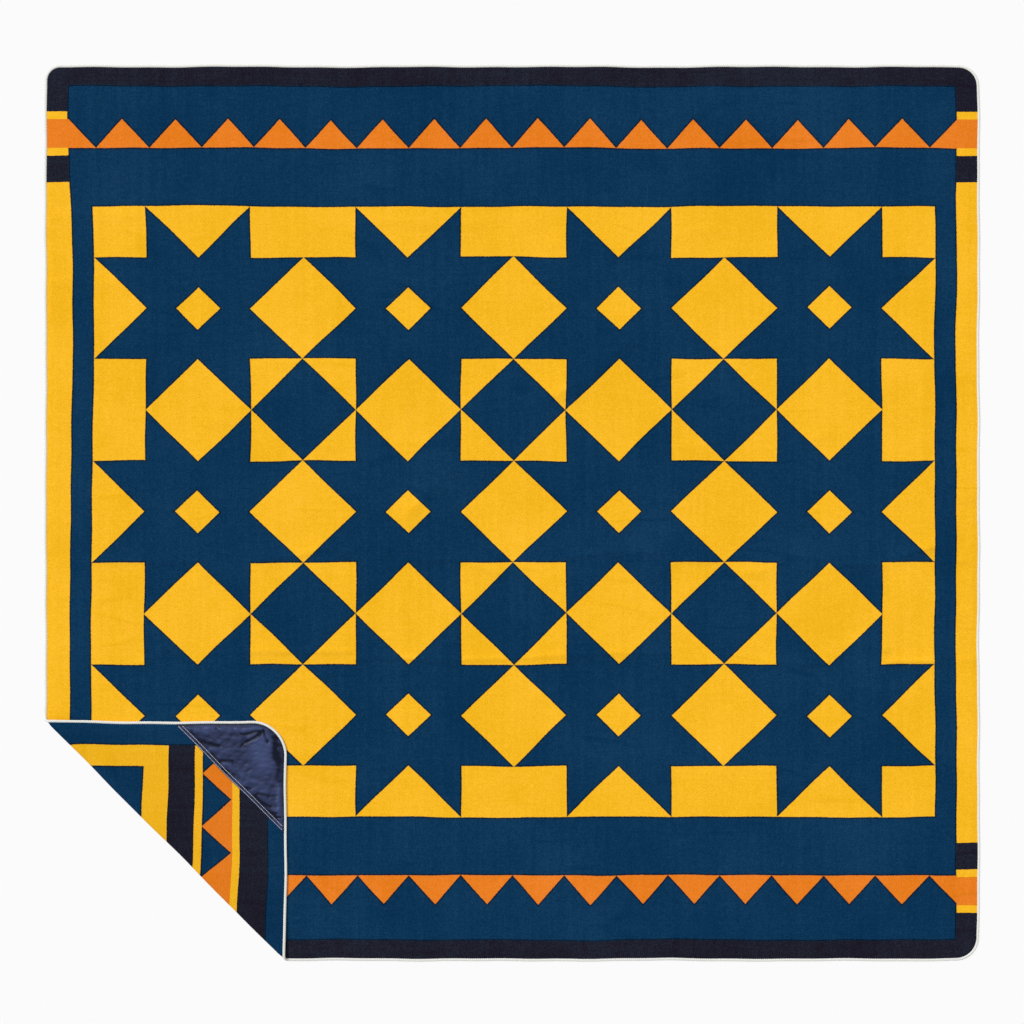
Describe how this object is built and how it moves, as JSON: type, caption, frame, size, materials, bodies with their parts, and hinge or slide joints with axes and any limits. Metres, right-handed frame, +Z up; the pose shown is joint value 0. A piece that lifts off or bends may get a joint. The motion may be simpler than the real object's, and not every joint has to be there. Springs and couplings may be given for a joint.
{
  "type": "woven blanket",
  "caption": "Near-square woven blanket with rounded corners and an overlocked edge, laid flat with one corner turned back to show its reverse and a corner patch.",
  "frame": {"origin": "on the ground, under the middle of the laid blanket's bounding box", "axes": "+X across the blanket, +Y along it away from the turned-back corner, +Z up out of its face"},
  "size_m": [2.03, 1.945, 0.014],
  "materials": {
    "wool_cloth": "brushed wool double cloth, matt, patterned in golden yellow, navy, black and orange",
    "edge_thread": "overlocked cream thread, matt",
    "patch_nylon": "smooth navy nylon with a soft sheen"
  },
  "bodies": {
    "root": {"cloth": "wool_cloth", "binding": "edge_thread", "corner_patch": "patch_nylon"}
  },
  "joints": []
}
